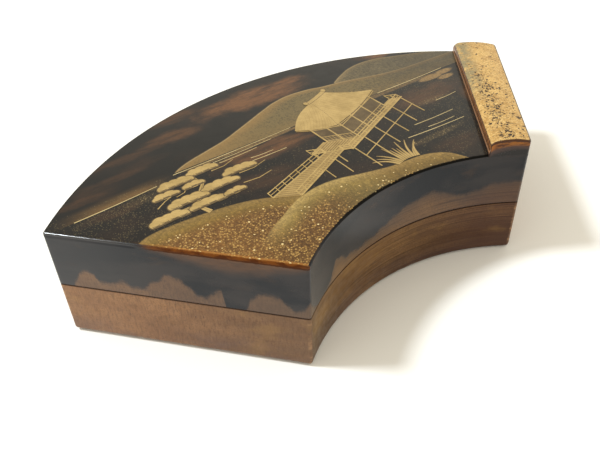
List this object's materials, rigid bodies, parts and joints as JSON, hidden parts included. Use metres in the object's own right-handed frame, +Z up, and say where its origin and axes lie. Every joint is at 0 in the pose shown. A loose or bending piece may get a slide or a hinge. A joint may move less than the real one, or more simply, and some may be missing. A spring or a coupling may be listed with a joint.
{
  "type": "incense box",
  "caption": "Fan-shaped lacquered wooden incense box: a hollow tray with an inner rim, a lift-off lid with a gold landscape, and a raised gold strip across one end of the lid.",
  "frame": {"origin": "middle of the bounding box, on the surface that the box stands on", "axes": "+X along the box's length towards the end with the gold strip, +Y towards the convex wall, +Z up"},
  "size_m": [0.0894, 0.0474, 0.0213],
  "materials": {
    "bare_wood": "satin oiled brown wood, black lacquer inside",
    "black_lacquer": "high gloss black lacquer over wood, running down in scallops onto brown wood, gold powder landscape on top",
    "gold_foil": "gold foil with dark flecks over wood"
  },
  "bodies": {
    "root": {"tray": "bare_wood", "lid": "black_lacquer", "gold_strip": "gold_foil"}
  },
  "joints": []
}
